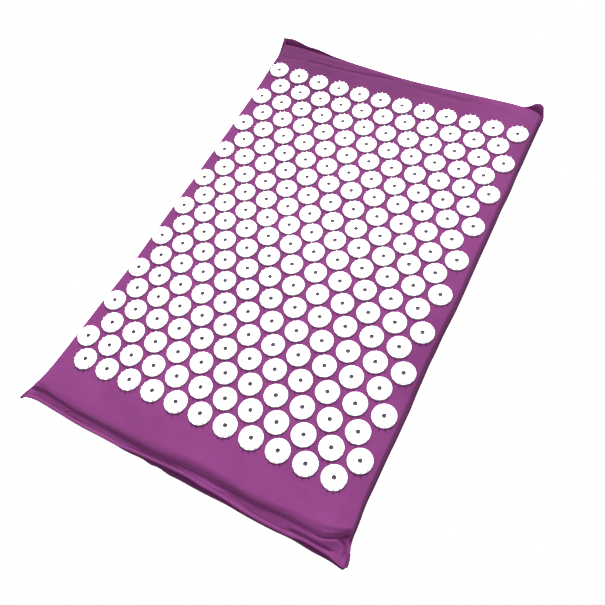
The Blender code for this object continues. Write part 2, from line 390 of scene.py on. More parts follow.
topCotton = makeCotton("purpleCotton")
# painted shade: the bottom panel is the same cotton darkened to 0.8, standing in for the shade it lies
# in
shadedCotton = makeCotton("purpleCottonUnderPaintedShade", paintedShadeTint=0.8)
whitePlastic = makePlastic()
# painted shade: the hole's floor is near black, standing in for the shade down in the hole
holeShadowGrey = makeGrainy("holeShadowGrey", (0.034, 0.021, 0.032), (0.056, 0.035, 0.052), 900, 0.6, 0.1 * mm)
# painted shade: the glue bead round each disc is dark, standing in for the contact shadow at the disc's
# edge
glueAndShadowPlum = makeGrainy("glueAndShadowPlum", (0.070, 0.018, 0.062), (0.105, 0.028, 0.092), 700, 0.7, 0.1 * mm)
creamFoam = makeGrainy("creamFoam", (0.42, 0.36, 0.24), (0.82, 0.77, 0.60), 900, 0.95, 0.5 * mm)
hookPlum = makeGrainy("hookPlum", (0.05, 0.012, 0.045), (0.15, 0.036, 0.13), 1400, 0.6, 0.2 * mm)
loopPlum = makeGrainy("loopPlum", (0.06, 0.014, 0.052), (0.17, 0.042, 0.15), 1100, 0.95, 0.3 * mm)
threadPlum = makeGrainy("threadPlum", (0.13, 0.028, 0.11), (0.27, 0.065, 0.23), 3000, 0.6, 0.1 * mm)
print("materials made")

# The cover: two panels of canvas. The lists of pairs are in millimetres, read by a smooth curve.
cover = dict(
    cloth=0.6 * mm,
    top=field["base"] - 0.25 * mm,
    seam=(upperLow.z + lowerHigh.z) / 2,
    upperLevel=upperHigh.z - 0.1 * mm,
    lowerLevel=lowerLow.z,
    farRound=1.5 * mm,         # the far edge is crisp: it turns down within this
    farWall=3.4 * mm,
    turn=0.7 * mm,             # radius of the cloth where it turns in at a seam or a hem
    tuck=3.0 * mm,
    follow=0.8,                # share of the upper lip's folds that the lower lip follows
    boxy=0.8,                  # below 1, the near wall is steeper than a quarter of an ellipse
    hemReturn=11.0 * mm,
    # the hem's raised edge and its stitch line: height, place in from the free edge, width
    hemRidges=((0.7 * mm, 1.4 * mm, 1.3 * mm), (-0.5 * mm, 3.6 * mm, 0.9 * mm)),
    leastReach=1.2 * mm,       # an ear stands out at least this far where its lean is worked out
    curl=1.2,                  # above 1, the ears curl up late
    # where the field's uneven border starts, at its sides and ends, and how soon it is at its full
    sideBorder=0.9, sideBorderWidth=0.07, endBorder=0.88, endBorderWidth=0.06,
    # in millimetres: about where the flat field ends, and how far the near wall and the lip go on
    nearEnd=-300, farEnd=296, nearWall=9, lip=14,
    # the grid: how wide and long its coarse and fine parts are, and their steps
    coarseWidth=112 * mm, coarseLength=530 * mm, coarseStep=6.0 * mm,
    fineWidth=76 * mm, fineLength=30 * mm, fineStep=1.15 * mm,
    wallSteps=13, lipSteps=17,
)

# Half width of the flat field, and of the seam, along each long side
flatLeft = [
    (-325, 196), (-312, 190), (-300, 187.5), (-286, 188.5), (-260, 189.2), (-230, 188.6), (-195, 188.4),
    (-125, 186.5), (-50, 187), (30, 187.2), (120, 187.6), (190, 189), (240, 191.5), (264, 192.5),
    (283, 192.8), (291, 194.5), (300, 196.5), (320, 197),
]
seamLeft = [
    (-325, 210), (-322.4, 209.1), (-315.4, 207.3), (-308.4, 204.7), (-299.8, 201.9), (-291, 199.9),
    (-280, 198.2), (-260, 196.5), (-230, 195), (-195, 194.5), (-125, 192.5), (-50, 193.5), (30, 193.8),
    (120, 194), (190, 195), (240, 197), (280, 198.2), (300, 199.6), (320, 201),
]
flatRight = [
    (-325, 202), (-312, 200), (-302, 197.2), (-292, 197), (-280, 196.8), (-262, 194.8), (-236, 194.0),
    (-160, 192.8), (-125, 191.8), (-55, 191.6), (-20, 192.5), (50, 191.4), (120, 190.5), (155, 190.2),
    (225, 189.6), (262, 190.0), (275, 189.4), (282, 188.2), (287, 186.4), (293, 184), (303, 181),
    (320, 179),
]
seamRight = [
    (-328, 199), (-326.6, 202.4), (-323, 204.8), (-318.4, 204.5), (-312.2, 203), (-307, 201),
    (-300.8, 199.2), (-294, 198.4), (-287.6, 198.2), (-265, 196.3), (-236, 196.2), (-160, 196.3),
    (-125, 195.1), (-55, 194.8), (-20, 195.7), (50, 194.8), (120, 194.2), (155, 194.4), (225, 193.2),
    (265, 193.2), (285, 193.6), (292, 192.4), (303, 189), (320, 187),
]

# The near edge, from left to right: where the flat field starts to fall, and the crease at its foot
nearFlat = [
    (-206, -299.5), (-196, -299.5), (-184, -299), (-170, -299.4), (-140, -300.6), (-110, -301),
    (-80, -301.5), (-40, -301), (0, -299.5), (40, -298.5), (80, -302), (120, -301.5), (150, -299.2),
    (165, -298.8), (176, -297.6), (184, -295.6), (190, -293), (204, -286),
]
nearCrease = [
    (-206, -310.1), (-198, -309.2), (-184, -307.1), (-164, -308.3), (-137, -310.5), (-100, -310.9),
    (-57, -311.3), (-29, -311.9), (9, -310.6), (50, -309.8), (79, -309.2), (104, -310), (134, -309.4),
    (150, -309.2), (160, -309.4), (166, -310), (174, -309.4), (183, -306.2), (191, -301.2),
    (197, -296.5), (204, -292),
]
# How much lower than the lip's level the cloth lies at the crease, or higher where it is below 0,
# and the share of the lip over which that ends
creaseDip = [
    (-206, -0.8), (-190, -1.9), (-165, -2.9), (-137, -2.5), (-80, -1.5), (-40, -0.8), (0, -0.1),
    (45, 0.4), (70, -0.4), (90, -1.3), (120, -1.8), (150, -1.9), (162, -2.2), (170, -2.8), (180, -3.2),
    (187, -2.8), (194, -1.2), (204, -0.2),
]
creaseReach = [
    (-206, 0.5), (-165, 0.8), (-60, 0.7), (0, 0.5), (50, 0.45), (90, 0.85), (150, 0.9), (180, 0.75),
    (204, 0.5),
]
# How soft the near wall is: 0 is boxy and 1 a gentle slope
creaseSoft = [
    (-206, 0.2), (-150, 0), (-20, 0.1), (30, 0.55), (55, 0.35), (90, 0.1), (125, 0.45), (158, 0.4),
    (172, 0.85), (186, 0.85), (195, 0.3), (206, 0),
]
# How much lower the lips' free edges hang than their crease
lipSag = [
    (-206, 0.2), (-120, 0.2), (-60, 0.8), (0, 1.3), (60, 1.3), (110, 1.8), (150, 2.1), (175, 2.7),
    (206, 2.4),
]

# The far edge, from left to right: the crisp fold round the foam
farFold = [
    (-204, 299), (-188, 299.8), (-160, 299.9), (-139, 299.2), (-112, 298.2), (-73, 298), (-39, 296),
    (-9, 294.5), (17, 294.2), (50, 294.6), (86, 295.4), (120, 295.5), (151, 295.3), (160, 294.6),
    (172, 293), (180, 290.4), (186, 287.6), (194, 284.5), (204, 282),
]

# The corner ears at the far end: place across, how far the seam stands out, and how far it curls up
farEar = [
    (-206, 5.5, 14.2), (-201, 6.2, 14.2), (-196, 7.6, 14.2), (-190, 8.0, 14.2), (-184, 7.6, 13.8),
    (-174, 5.8, 12.8), (-165, 4.2, 11.6), (-156, 3.6, 11.0), (-148, 4.4, 10.8), (-135, 3.8, 10.0),
    (-119, 1.8, 9.6), (-105, 1.0, 9.1), (-92, 0.4, 8.6), (-78, 0.2, 7.6), (-64, 0.8, 4.5),
    (-46, 1.2, 0.6), (-30, 1.2, 0), (60, 1.2, 0), (140, 1.2, 0), (154, 1.0, 2.5), (163, 0.8, 6.6),
    (171, 1.6, 9.6), (176, 4.4, 11.8), (181, 9.0, 13.6), (186, 13.0, 13.6), (191, 14.5, 11.4),
    (200, 15, 8),
]
# The same along the right and the left side: place along, how far out, how far up
rightEar = [
    (-330, 1.2, 0), (220, 1.2, 0.2), (244, 1.2, 0.7), (260, 1.4, 1.5), (279, 1.6, 2.6), (288, 2.0, 4.2),
    (292, 1.4, 6.2), (297, 0.8, 6.5), (303, 0.8, 3.0), (312, 0.8, 0),
]
leftEar = [
    (-330, 1.2, 0), (240, 1.2, 0), (268, 1.0, 2.0), (284, 0.6, 6.5), (295, 1.2, 10.0), (302, 1.4, 13.0),
    (308, 1.4, 14.0), (320, 1.4, 14.0),
]

# The two lips' free edges, from left to right
upperEdge = [
    (-210, -324.8), (-207, -324.4), (-203, -322.8), (-199, -321.2), (-191, -319.6), (-181, -319.6),
    (-165, -320.4), (-148, -321.2), (-129, -322.2), (-112, -322.5), (-92, -322.3), (-61, -322.3),
    (-47, -320.8), (-33, -320.1), (-19, -319.3), (-5, -318.6), (20, -318.2), (40, -319.6), (53, -319.6),
    (67, -320.3), (81, -321.7), (95, -322.7), (121, -323.2), (133, -322.9), (146, -322.1), (156, -320.7),
    (165, -320.5), (178, -321.1), (187, -322.1), (194, -323.7), (200, -325), (203.5, -324.6),
    (206, -322.4),
]
lowerEdge = [
    (-210, -324.4), (-207, -323.8), (-203, -321.8), (-199, -320), (-191, -318.3), (-181, -318.3),
    (-156, -319.7), (-129, -320.9), (-106, -321.2), (-78, -321.4), (-63, -322.4), (-52, -322.2),
    (-39, -321.4), (-32.5, -321.9), (-26, -322.8), (-19, -321.8), (-12.5, -321.9), (-2, -323.3),
    (10, -323), (40, -323.4), (72, -322.9), (84, -323.5), (100, -323.9), (123, -323.9), (146, -322.9),
    (158, -323.5), (170, -324.1), (182, -324.1), (190, -324.5), (196, -325.3), (201, -325.8),
    (204.5, -325), (206.5, -322.6),
]

# Folds of the top panel, ridges and grooves: height, width and path
folds = [
    (-0.6, 2.6, [(-190, 272.5), (-174, 274.3), (-150, 279.3), (-124, 281.4)]),
    (0.6, 1.5, [(-150, 281), (-124, 283.4), (-102, 283), (-81, 284), (-57, 286.2), (-29, 289.6)]),
    (-0.9, 2.2, [(-150, 276.5), (-124, 279), (-102, 279.2), (-81, 280), (-57, 282.2), (-10, 287)]),
    (0.6, 4, [(-150, 291), (-80, 292), (-20, 289.5), (30, 284)]),
    (-0.9, 4, [(20, 281), (70, 279), (110, 281)]),
    (0.7, 3, [(40, 288), (70, 286), (95, 283)]),
    (0.5, 5, [(110, 289), (150, 283), (170, 274)]),
    (-2.0, 1.1, [(138, -317.8), (149, -316.5), (164, -316.4), (178, -316.7), (190, -316.1)]),
    (0.5, 1.2, [(140, -313.5), (155, -313.6), (166, -313.9), (180, -314)]),
    (-0.6, 1.5, [(60, -313), (84, -316), (104, -319)]),
    (0.6, 1.5, [(24, -317), (49, -315.6), (75, -312.4)]),
    (-0.5, 1.0, [(-156, -320), (-145, -318.6), (-117, -317), (-92, -318)]),
    (0.9, 1.0, [(-150, -319), (-144.5, -313.6), (-137.8, -311), (-127, -310.4)]),
    (-2.2, 1.1, [(164, -310.1), (171.3, -310.2), (177.4, -308.6), (184.2, -305.6), (190, -302.2)]),
    (0.4, 1.3, [(168, -306.2), (177, -304), (184.2, -301), (190, -297.6)]),
    (-3.2, 1.5, [(186, -303.2), (192.5, -304.4), (196, -306.6), (198.8, -310.7), (200.2, -318)]),
    (1.6, 1.2, [(198, -301), (201.4, -305.8), (203.4, -311.6), (204.4, -318)]),
    (-2.0, 1.3, [(187, -302.6), (193.1, -298.6), (196.6, -293.6)]),
    (0.8, 1.6, [(190, -294.8), (195, -290)]),
    (-0.7, 1.0, [(-199.3, -301), (-195.7, -303.2), (-189.1, -304), (-181, -303.6)]),
    (-0.4, 6, [(-178, -262), (-150, -268), (-128, -269)]),
    (0.3, 8, [(-160, -255), (-100, -276), (-40, -283)]),
    (-0.35, 7, [(-60, -286), (0, -290), (60, -287)]),
    (-0.4, 6, [(110, -282), (150, -289), (182, -288)]),
    (0.4, 4, [(150, -266), (176, -270), (190, -282)]),
]


# Distance from a point to a path, and how far inside the path's ends it lies
def toPath(x, y, path):
    best, inside = 1e9, 0.0
    for (x0, y0), (x1, y1) in zip(path, path[1:]):
        dx, dy = x1 - x0, y1 - y0
        t = clamp(((x - x0) * dx + (y - y0) * dy) / (dx * dx + dy * dy))
        gap = math.hypot(x - x0 - t * dx, y - y0 - t * dy)
        if gap < best:
            best = gap
            fromStart = math.hypot(x - path[0][0], y - path[0][1])
            fromEnd = math.hypot(x - path[-1][0], y - path[-1][1])
            inside = min(fromStart, fromEnd)
    return best, inside


def foldHeight(x, y):
    total = 0.0
    x, y = x / mm, y / mm
    if -250 < y < 262:    # no fold reaches in between
        return total
    for height, width, path in folds:
        gap, inside = toPath(x, y, path)
        if gap < 3 * width:
            total += height * math.exp(-(gap / width) ** 2) * smooth((inside + 2) / 9)
    return total * mm


# Small uneven waves of the cloth: their height and size in millimetres, and their seed
waves = dict(
    field=(1.0, 50, 0.0),
    border=(0.35, 19, 12.0),
    lip=(0.4, 26, 1.0),
    slant=(0.5, 15, 8.0),
    crease=(0.5, 22, 3.0),
    seam=(0.6, 28, 5.0),
    flat=(0.5, 60, 6.0),
)


def wave(kind, x, y, seedShift=0):
    height, size, seed = waves[kind]
    return height * noise.noise(Vector((x / size, y / size, seed + seedShift)))


# How far the closed lips' cloth lies from its level: the dip or rise at the crease, and fine wrinkles
def lipDrop(x, y):
    place = x / mm
    crease, edge = at(nearCrease, x), at(upperEdge, x)
    out = (crease - y) / (crease - edge)
    rise = smooth(out / through(creaseReach, place))
    wrinkle = wave("lip", place, y / mm) + wave("slant", place + 0.6 * y / mm, 3.5 * y / mm)
    sag = at(lipSag, x) * clamp(out, 0, 1.5)
    return (wrinkle * rise - through(creaseDip, place) * (1 - rise)) * mm - sag


# Evenly spaced steps from one place on, without the end
def steps(start, length, count):
    return [start + length * k / count for k in range(count)]


# The wall down to a seam, the ear beyond it and the tuck in its seam
def outerSteps():
    return steps(1, 1, cover["wallSteps"]) + [2.0, 2.25, 2.5, 2.75, 3.0, 3.15, 3.35, 3.5, 4.0]


# Steps from the middle outwards: 0 to 1 flat, to 2 the wall, to 3 the ear, and to 4 the tuck
def stepsAcross():
    coarse = round(cover["coarseWidth"] / cover["coarseStep"])
    fine = round(cover["fineWidth"] / cover["fineStep"])
    half = steps(0, 0.6, coarse) + steps(0.6, 0.4, fine) + outerSteps()
    return [-step for step in reversed(half[1:])] + half


# Steps from the mouth to the far end: the hem below -3, the lip to -2, its wall to -1, then as above
def stepsAlong():
    border = 0.1
    fine = round(cover["fineLength"] / cover["fineStep"])
    coarse = round(cover["coarseLength"] / cover["coarseStep"])
    flat = steps(-1, border, fine) + steps(-1 + border, 2 * (1 - border), coarse)
    flat += steps(1 - border, border, fine - 4)
    wall = [-1 - k / cover["wallSteps"] for k in range(1, cover["wallSteps"] + 1)]
    lip = [-2 - k / cover["lipSteps"] for k in range(1, cover["lipSteps"] + 1)]
    hem = [-3.1, -3.2, -3.3, -3.4, -3.5, -3.75, -4.0]
    return list(reversed(wall + lip + hem)) + flat + outerSteps()


# How far an ear stands out at a place, and how far it curls up
def ear(points, place):
    out = through([(where, out) for where, out, up in points], place) * mm
    up = through([(where, up) for where, out, up in points], place) * mm
    return out, up


# Where a point of the cover lies. top is 1 for the top panel and -1 for the bottom one.
def coverPoint(acrossStep, alongStep, top):
    side = -1 if acrossStep < 0 else 1
    a = abs(acrossStep)
    share, wallX, earX, tuckX = min(a, 1), clamp(a - 1), clamp(a - 2), clamp(a - 3)
    wallFar, earFar, tuckFar = clamp(alongStep - 1), clamp(alongStep - 2), clamp(alongStep - 3)
    wallNear, lip, hem = clamp(-alongStep - 1), clamp(-alongStep - 2), clamp(-alongStep - 3)
    flats, seams, ears = (flatRight, seamRight, rightEar) if side > 0 else (flatLeft, seamLeft, leftEar)
    flatShare = (clamp(alongStep, -1, 1) + 1) / 2
    level = mix(cover["nearEnd"], cover["farEnd"], flatShare)
    level -= cover["nearWall"] * wallNear + cover["lip"] * lip
    flatHere, seamHere = through(flats, level), through(seams, level)
    place = side * (share * flatHere + wallX * (seamHere - flatHere) + earX * 3)
    turn, tuck = cover["turn"], cover["tuck"]

    # along the mat
    near = through(nearFlat, place) * mm
    far = through(farFold, place) * mm - cover["farRound"]
    crease = (through(nearCrease, place) + wave("crease", place, 0)) * mm
    edge = through(upperEdge if top > 0 else lowerEdge, place) * mm
    y = mix(near, far, flatShare)
    soft = through(creaseSoft, place)
    y = mix(y, crease, mix(quarterSin(wallNear) ** cover["boxy"], wallNear, soft))
    y = mix(y, edge + turn, lip)
    y += cover["farWall"] * quarterSin(wallFar)
    farOut, farUp = ear(farEar, place)
    y += farOut * earFar

    # across it
    inHem = cover["hemReturn"] * max(2 * hem - 1, 0)
    flatX = at(flats, y + inHem) + wave("flat", side * 9, y / mm) * mm
    seamX = at(seams, y + inHem) + wave("seam", side * 7, y / mm) * mm
    sideOut, sideUp = ear(ears, y / mm)
    x = share * flatX + (seamX - flatX) * quarterSin(wallX) + sideOut * earX

    # how high: the flat field's level, falling to the seam, or over the near wall to the lip
    fall = quarterCos(wallX) * quarterCos(wallFar)
    flatLevel = cover["top"] if top > 0 else 0.0
    seamLevel = cover["seam"] + top * turn
    if top > 0:
        lipLevel = cover["upperLevel"] + lipDrop(side * x, y)
        for height, inward, width in cover["hemRidges"]:
            lipLevel += height * math.exp(-((y - edge - inward) / width) ** 2)
    else:
        lipLevel = cover["lowerLevel"] + cover["follow"] * lipDrop(side * x, y)
    base = mix(seamLevel, lipLevel, smooth(2 * wallNear) * (1 - smooth(1.1 * wallX)))
    nearFall = mix(quarterCos(wallNear) ** cover["boxy"], 1 - smooth(wallNear), soft)
    z = base + (flatLevel - base) * fall * nearFall
    if top > 0:
        besides = (share - cover["sideBorder"]) / cover["sideBorderWidth"]
        beyond = (abs(alongStep) - cover["endBorder"]) / cover["endBorderWidth"]
        z += (0.1 + 0.3 * clamp(max(besides, beyond))) * wave("field", x / mm, y / mm) * fall * mm
        z += clamp(besides) * wave("border", 0.6 * x / mm, y / mm, side) * fall * mm
    if top > 0 or wallNear == 1:
        z += foldHeight(side * x, y + inHem) * (1 if top > 0 else cover["follow"])

    # the ears curl up, with the two panels back to back in them
    z += max(up * quarterSin(step) ** cover["curl"] for up, step in ((farUp, earFar), (sideUp, earX)))
    leanFar = math.atan2(farUp, max(farOut, cover["leastReach"])) * earFar
    leanSide = math.atan2(sideUp, max(sideOut, cover["leastReach"])) * earX
    y -= top * turn * math.sin(leanFar)
    x -= top * turn * math.sin(leanSide)
    z -= top * turn * (2 - math.cos(leanFar) - math.cos(leanSide))

    # the cloth turns in at the seams, and round the lip's free edge
    if hem > 0:
        angle = math.pi * min(2 * hem, 1)
        y -= turn * math.sin(angle)
        y += inHem
        z -= top * turn * (1 - math.cos(angle))
        x -= tuck * tuckX
    elif tuckX > 0 or tuckFar > 0:
        roundX, roundFar = min(2 * tuckX, 1), min(2 * tuckFar, 1)
        backX, backFar = tuck * max(2 * tuckX - 1, 0), tuck * max(2 * tuckFar - 1, 0)
        x -= turn * (1 - quarterCos(roundX)) + backX
        y -= (turn * (1 - quarterCos(roundFar)) + backFar) * math.cos(leanFar)
        inX, inFar = turn * quarterSin(roundX), turn * quarterSin(roundFar)
        z -= top * max(inX * math.cos(leanSide), inFar * math.cos(leanFar))
        y += top * inFar * math.sin(leanFar)
        x += top * inX * math.sin(leanSide)
        z -= backFar * math.sin(leanFar) + backX * math.sin(leanSide)
    return Vector((side * x, y, z + lift(side * x, y)))


# How far each point of a line lies from its start, along it
def lengthsAlong(points):
    lengths = [0.0]
    for before, here in zip(points, points[1:]):
        lengths.append(lengths[-1] + (here - before).length)
    return lengths


def makeCover(name, top, material):
    columns, rows = stepsAcross(), stepsAlong()
    width = len(columns)
    deselect()
    bpy.ops.mesh.primitive_grid_add(x_subdivisions=width - 1, y_subdivisions=len(rows) - 1, size=1)
    panel = started(name)
    mesh = panel.data
    points = [coverPoint(across, along, top) for along in rows for across in columns]
    for vertex, point in zip(mesh.vertices, points):
        vertex.co = point
    # the cloth's own flat measure, for the weave: lengths along its middle row and column
    middleRow = len(rows) // 2 * width
    flatX = lengthsAlong(points[middleRow:middleRow + width])
    flatY = lengthsAlong(points[width // 2::width])
    layer = mesh.uv_layers[0]
    layer.name = "cloth"
    for loop in mesh.loops:
        layer.data[loop.index].uv = (flatX[loop.vertex_index % width], flatY[loop.vertex_index // width])
    if top < 0:
        mesh.flip_normals()
    mesh.materials.append(material)
    addModifier(panel, "SOLIDIFY", thickness=cover["cloth"], offset=-1)
    smoothShade(panel, 80)
    return panel


topCover = makeCover("topCover", 1, topCotton)
bottomCover = makeCover("bottomCover", -1, shadedCotton)
print("cover made:", len(topCover.data.polygons), "faces in its top")


# The foam core: one block with softened edges, pressed into the shape of its cover
foam = dict(
    edge=3.0 * mm, side=1.0 * mm, shrink=0.4 * mm, cuts=24,
    # its borders follow the cover from startX and startY outwards, to these distances
    startX=150 * mm, startY=250 * mm,
    fromFold=3.0 * mm, fromFoot=6.5 * mm, pastFlat=1.2 * mm,
    mostOut=3 * mm, mostFar=5 * mm,      # never farther past its node, across and at the far end
    clear=0.6 * mm,
    endClear=1.5 * mm, endStart=240, endWidth=30,    # more room towards both ends
    nearRise=1.5 * mm,
    thinnest=0.5 * mm,
)


# How high the cover's inner face lies over a point, and how low under it
def coverRoom(x, y):
    side = 1 if x > 0 else -1
    flats, seams = (flatRight, seamRight) if side > 0 else (flatLeft, seamLeft)
    flatX, seamX = at(flats, y), at(seams, y)
    near, crease = at(nearFlat, x), at(nearCrease, x)
    far = at(farFold, x) - cover["farRound"]
    sideShare = clamp((abs(x) - flatX) / (seamX - flatX))
    farShare = clamp((y - far) / cover["farWall"])
    nearShare = clamp((near - y) / (near - crease))
    soft = through(creaseSoft, x / mm)
    fall = math.sqrt(1 - sideShare**2) * math.sqrt(1 - farShare**2)
    fall *= mix(math.sqrt(1 - nearShare**2), 1 - smooth(nearShare), soft)
    towardsEnd = smooth((abs(y) / mm - foam["endStart"]) / foam["endWidth"])
    inset = cover["cloth"] + foam["clear"] + foam["endClear"] * towardsEnd
    middle = cover["seam"] + foam["nearRise"] * clamp(nearShare * 3)
    return middle + (cover["top"] - middle) * fall - inset, cover["seam"] * (1 - fall) + inset


def makeFoam():
    low, high = foamLow, foamHigh
    size = high - low - Vector((2 * foam["side"], foam["shrink"], foam["shrink"]))
    deselect()
    bpy.ops.mesh.primitive_cube_add(size=1, location=(low + high) / 2, scale=size)
    core = started("foamCore")
    edit(core, "FACE", lambda face: True)
    bpy.ops.mesh.subdivide(number_cuts=foam["cuts"])
    editDone()
    addModifier(core, "BEVEL", width=foam["edge"], segments=4, offset_type="WIDTH")
    endX, endY = size.x / 2, (low.y + high.y) / 2 + size.y / 2
    startX, startY = foam["startX"], foam["startY"]
    for vertex in core.data.vertices:
        x, y, z = vertex.co
        if y > startY:
            reach = min(at(farFold, x) - foam["fromFold"], high.y + foam["mostFar"])
            y = startY + (y - startY) * (reach - startY) / (endY - startY)
        if y < -startY:
            reach = max(at(nearCrease, x) + foam["fromFoot"], low.y)
            y = -startY + (y + startY) * (-startY - reach) / (-startY - low.y)
        if abs(x) > startX:
            flatX = at(flatRight if x > 0 else flatLeft, y)
            reach = min(flatX + foam["pastFlat"], high.x + foam["mostOut"])
            x = math.copysign(startX + (abs(x) - startX) * (reach - startX) / (endX - startX), x)
        ceiling, ground = coverRoom(x, y)
        z = max(min(z, ceiling), min(ground, ceiling - foam["thinnest"]))
        vertex.co = Vector((x, y, z + lift(x, y)))
    core.data.materials.append(creamFoam)
    smoothShade(core)
    return core


foamCore = makeFoam()
print("foam made")


# One spike disc: a round plate with a hole, and rings of broad-footed spikes
plateHeight = 1.5 * mm
disc = dict(
    thickness=plateHeight,
    trim=0.2 * mm,           # how far the plate's edge lies inside its node
    edge=0.25 * mm, sides=36,
    # the hole's floor is the glue there, painted near black as the shade in the hole
    holeRadius=2.2 * mm, holeDepth=0.9 * mm, wallSlope=0.05 * mm,    # down to the glue
    rim=0.3 * mm, rimDepth=0.2 * mm,     # the hole's rim: how wide it slopes, and how far down
    spikeHeight=discHigh.z - discLow.z - plateHeight,
    sunk=0.3 * mm,
    rings=((12, 12.1 * mm, 0.0), (9, 8.6 * mm, 0.5), (6, 6.2 * mm, 0.0)),   # count, radius, turn
    footAlong=1.75 * mm, footAcross=0.95 * mm, tip=0.45 * mm,    # half widths, along the ring and across
    waistShare=0.4, waist=0.68,          # how far up the waist lies, and its share of the foot's width
    # the bead of glue, painted dark as the contact shadow round the disc: how far it stands out, tucks
    # in and reaches up
    glue=0.7 * mm, glueIn=0.2 * mm, glueHeight=0.5 * mm,
)
sameLevel = 0.01 * mm        # levels closer than this are the same


def makeSpike():
    deselect()
    height = disc["spikeHeight"] + disc["sunk"]
    foot = disc["thickness"] - disc["sunk"]
    narrowing = disc["tip"] / disc["footAlong"]
    bpy.ops.mesh.primitive_cone_add(vertices=6, radius1=1, radius2=narrowing, depth=height,
                                    location=(0, 0, foot + height / 2),
                                    scale=(disc["footAcross"], disc["footAlong"], 1))
    spike = started("spike")
    waistLevel = foot + height * disc["waistShare"]
    edit(spike, "FACE", lambda face: True)
    bpy.ops.mesh.bisect(plane_co=(0, 0, waistLevel), plane_no=(0, 0, 1))
    editDone()
    edit(spike, "VERT", lambda vertex: abs(vertex.co.z - waistLevel) < sameLevel)
    narrow = disc["waist"] / mix(1, narrowing, disc["waistShare"])
    bpy.ops.transform.resize(value=(narrow, narrow, 1), center_override=(0, 0, waistLevel))
    editDone()
    return spike


def makeDisc():
    radius = field["radius"] - disc["trim"]
    deselect()
    bpy.ops.mesh.primitive_cylinder_add(vertices=disc["sides"], radius=radius, depth=disc["thickness"],
                                        location=(0, 0, disc["thickness"] / 2))
    plate = started("plate")
    corners = plate.data.vertices
    edit(plate, "EDGE", lambda edge: all(abs(corners[k].co.z - disc["thickness"]) < sameLevel
                                         for k in edge.vertices))
    bpy.ops.mesh.bevel(offset=disc["edge"], segments=3, affect="EDGES")
    editDone()
    edit(plate, "FACE", lambda face: face.normal.z > 0.99)
    bpy.ops.mesh.inset(thickness=radius - disc["edge"] - disc["holeRadius"] - disc["rim"])
    bpy.ops.mesh.inset(thickness=disc["rim"], depth=-disc["rimDepth"])
    bpy.ops.mesh.inset(thickness=disc["wallSlope"], depth=-disc["holeDepth"] + disc["rimDepth"])
    editDone()
    for material in (whitePlastic, holeShadowGrey, glueAndShadowPlum):
        plate.data.materials.append(material)
    spike = makeSpike()
    spikes = []
    for count, ring, turn in disc["rings"]:
        for k in range(count):
            angle = 2 * math.pi * (k + turn) / count
            place = Matrix.Rotation(angle, 4, "Z") @ Matrix.Translation((ring, 0, 0))
            spikes.append(copyOf(spike, "spikeCopy", place))
    bpy.data.objects.remove(spike)
    crown = join(spikes, "crown")
    crown.data.materials.append(whitePlastic)
    addModifier(plate, "BOOLEAN", operation="UNION", object=crown)
    bpy.data.objects.remove(crown)
    for face in plate.data.polygons:
        inHole = math.hypot(face.center.x, face.center.y) < disc["holeRadius"] + 0.1 * mm
        face.material_index = 1 if inHole and face.center.z > 0.1 * mm else 0
    deselect()
    bpy.ops.mesh.primitive_cone_add(vertices=disc["sides"], radius1=radius + disc["glue"],
                                    radius2=radius - disc["glueIn"], depth=disc["glueHeight"],
                                    location=(0, 0, 0))
    bead = started("bead")
    for material in (whitePlastic, holeShadowGrey, glueAndShadowPlum):
        bead.data.materials.append(material)
    for face in bead.data.polygons:
        face.material_index = 2
    plate = join([plate, bead], "oneDisc")
    smoothShade(plate, 35)
    return plate


# The discs were laid by hand on cloth that gives: how the rows beyond the second wander, in
# millimetres. u and v are places across and along the mat, from -1 to 1.
stretch = dict(
    width=190,
    length=290,
    sideways=lambda u, v: (
        (-1.29 - 0.72 * v + 1.92 * v**2) * u + 1.42 * u**3 - 0.22 * u**2 - 1.68 * u**2 * v
        + 1.19 * v + 1.72 * v**2 - 3.5 * v**3 - 0.06),
    onwards=lambda u, v: (
        (0.82 - 0.42 * v - 1.16 * v**2) * u - 1.05 * u**3 + 1.81 * u**2 + 1.02 * u**2 * v
        - 3.34 * v + 1.62 * v**2 + 7.47 * v**3 - 1.09 - 1.8 * (max(u, 0) * max(v, 0)) ** 2),
    rows={3: 0.2, 5: -0.4, 6: -0.5, 7: 0.1, 8: 0.3, 9: 0.5, 10: 0.7, 12: -0.5, 13: -0.6, 15: -0.2},
)


# Places of the discs of a row, each turned its own way
def discPlaces(row):
    count = field["longRow"] - (row % 2)
    level = field["firstRow"] + (row - 1) * field["pitchY"]
    middle = field["firstRow"] + (field["rows"] - 1) / 2 * field["pitchY"]
    free = clamp((row - field["ownRows"]) / 2)
    for k in range(count):
        x, y = (k - (count - 1) / 2) * field["pitchX"], level
        u, v = x / mm / stretch["width"], (y - middle) / mm / stretch["length"]
        x += stretch["sideways"](u, v) * free * mm
        y += (stretch["onwards"](u, v) + stretch["rows"].get(row, 0)) * free * mm
        step = 5 * mm
        slopeY = (lift(x, y + step) - lift(x, y - step)) / (2 * step)
        slopeX = (lift(x + step, y) - lift(x - step, y)) / (2 * step)
        normal = Vector((-slopeX, -slopeY, 1)).normalized()
        tilt = Vector((0, 0, 1)).rotation_difference(normal).to_matrix().to_4x4()
        spin = Matrix.Rotation(2 * math.pi * noise.cell(Vector((k * 1.7, row * 2.3, 0.5))), 4, "Z")
        yield Matrix.Translation((x, y, field["base"] + lift(x, y))) @ tilt @ spin


oneDisc = makeDisc()
discRows = []
for row in range(1, field["rows"] + 1):
    copies = []
    for number, place in enumerate(discPlaces(row), start=1):
        if row <= field["ownRows"]:
            copy = copyOf(oneDisc, f"spikeDisc_row{row}_{number:02}", place)
            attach(copy, "mat")
            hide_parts(f"spike_disc_row{row}_{number:02}")
        else:
            copies.append(copyOf(oneDisc, "discCopy", place))
    if copies:
        discRows.append(join(copies, f"discRow_{row:02}"))
print("discs made:", len(discRows), "whole rows,", len(oneDisc.data.polygons), "faces each")
bpy.data.objects.remove(oneDisc)


